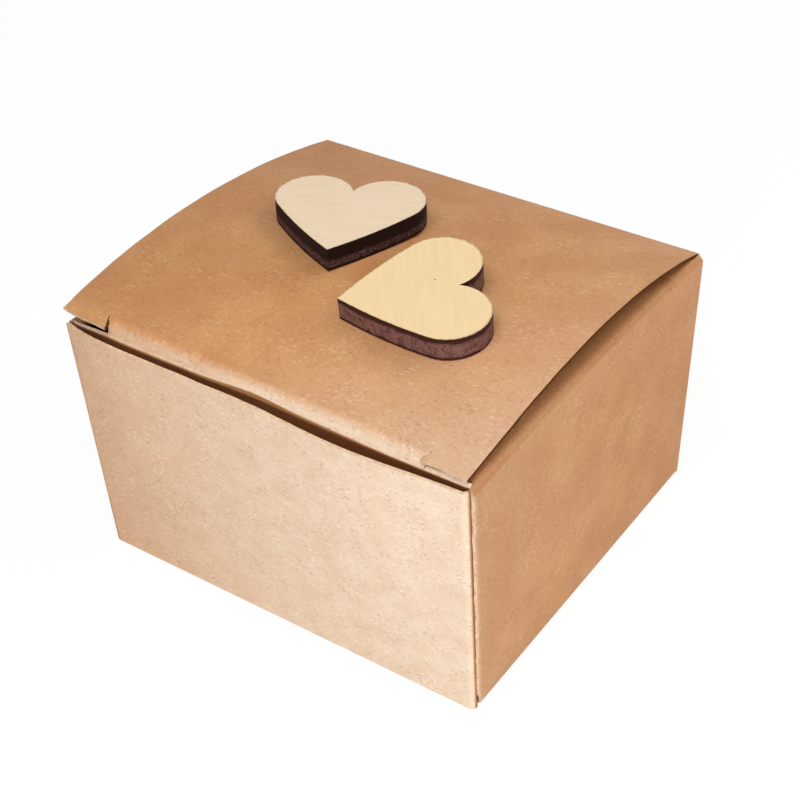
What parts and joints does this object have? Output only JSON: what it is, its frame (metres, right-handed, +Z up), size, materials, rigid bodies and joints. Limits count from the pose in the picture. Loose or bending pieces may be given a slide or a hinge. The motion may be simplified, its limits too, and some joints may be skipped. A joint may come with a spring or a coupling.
{
  "type": "favor box",
  "caption": "Small kraft tuck-top favor box with an arched lid, slit-locked tuck flap, dust flaps, tuck bottom and laser-cut plywood hearts glued on the lid.",
  "frame": {"origin": "centre of the footprint on the table, on the underside of the bottom panel", "axes": "+X to the right across the front, -Y out of the front panel, +Z up; the lid's crease is along X at the back"},
  "size_m": [0.06, 0.056, 0.0442],
  "materials": {
    "kraft_board": "matte unbleached kraft board with fine fibre flecks",
    "outer_veneer": "pale unfinished veneer with laser-browned edges",
    "core_veneer": "laser-browned cut edge of the core veneer",
    "craft_glue": "dried clear craft glue"
  },
  "bodies": {
    "sleeve": {"front_panel": "kraft_board", "glue_flap": "kraft_board", "right_panel": "kraft_board", "back_panel": "kraft_board", "left_panel": "kraft_board"},
    "lid": {"lid_panel": "kraft_board", "left_heart_glue": "craft_glue", "left_heart_back_ply": "outer_veneer", "left_heart_core_ply": "core_veneer", "left_heart_face_ply": "outer_veneer", "right_heart_glue": "craft_glue", "right_heart_back_ply": "outer_veneer", "right_heart_core_ply": "core_veneer", "right_heart_face_ply": "outer_veneer"},
    "lid_tuck": {"lid_tuck_flap": "kraft_board"},
    "left_dust": {"left_dust_flap": "kraft_board"},
    "right_dust": {"right_dust_flap": "kraft_board"},
    "bottom": {"bottom_panel": "kraft_board"},
    "bottom_tuck": {"bottom_tuck_flap": "kraft_board"},
    "bottom_left_dust": {"bottom_left_dust_flap": "kraft_board"},
    "bottom_right_dust": {"bottom_right_dust_flap": "kraft_board"}
  },
  "joints": [
    {"name": "lid_hinge", "type": "hinge", "parent": "sleeve", "child": "lid", "pos_m": [0, 0.0268, 0.0358], "axis": [-1, 0, 0], "range_deg": [0, 180]},
    {"name": "lid_tuck_fold", "type": "hinge", "parent": "lid", "child": "lid_tuck", "pos_m": [0, -0.02546, 0.03665], "axis": [-1, 0, 0], "range_deg": [0, 36]},
    {"name": "left_dust_fold", "type": "hinge", "parent": "sleeve", "child": "left_dust", "pos_m": [-0.0298, 0, 0.0358], "axis": [0, -1, 0], "range_deg": [0, 90]},
    {"name": "right_dust_fold", "type": "hinge", "parent": "sleeve", "child": "right_dust", "pos_m": [0.0298, 0, 0.0358], "axis": [0, 1, 0], "range_deg": [0, 90]},
    {"name": "bottom_hinge", "type": "hinge", "parent": "sleeve", "child": "bottom", "pos_m": [0, 0.0268, 0.0002], "axis": [1, 0, 0], "range_deg": [0, 180]},
    {"name": "bottom_tuck_fold", "type": "hinge", "parent": "bottom", "child": "bottom_tuck", "pos_m": [0, -0.0255, 0.00056], "axis": [1, 0, 0], "range_deg": [0, 36]},
    {"name": "bottom_left_dust_fold", "type": "hinge", "parent": "sleeve", "child": "bottom_left_dust", "pos_m": [-0.0298, 0, 0.0007], "axis": [0, 1, 0], "range_deg": [0, 90]},
    {"name": "bottom_right_dust_fold", "type": "hinge", "parent": "sleeve", "child": "bottom_right_dust", "pos_m": [0.0298, 0, 0.0007], "axis": [0, -1, 0], "range_deg": [0, 90]}
  ],
  "couplings": [
    {"joint": "lid_tuck_fold", "follows": "lid_hinge", "ratio": 0.2},
    {"joint": "left_dust_fold", "follows": "lid_hinge", "ratio": 0.5},
    {"joint": "right_dust_fold", "follows": "lid_hinge", "ratio": 0.5},
    {"joint": "bottom_tuck_fold", "follows": "bottom_hinge", "ratio": 0.2},
    {"joint": "bottom_left_dust_fold", "follows": "bottom_hinge", "ratio": 0.5},
    {"joint": "bottom_right_dust_fold", "follows": "bottom_hinge", "ratio": 0.5}
  ]
}
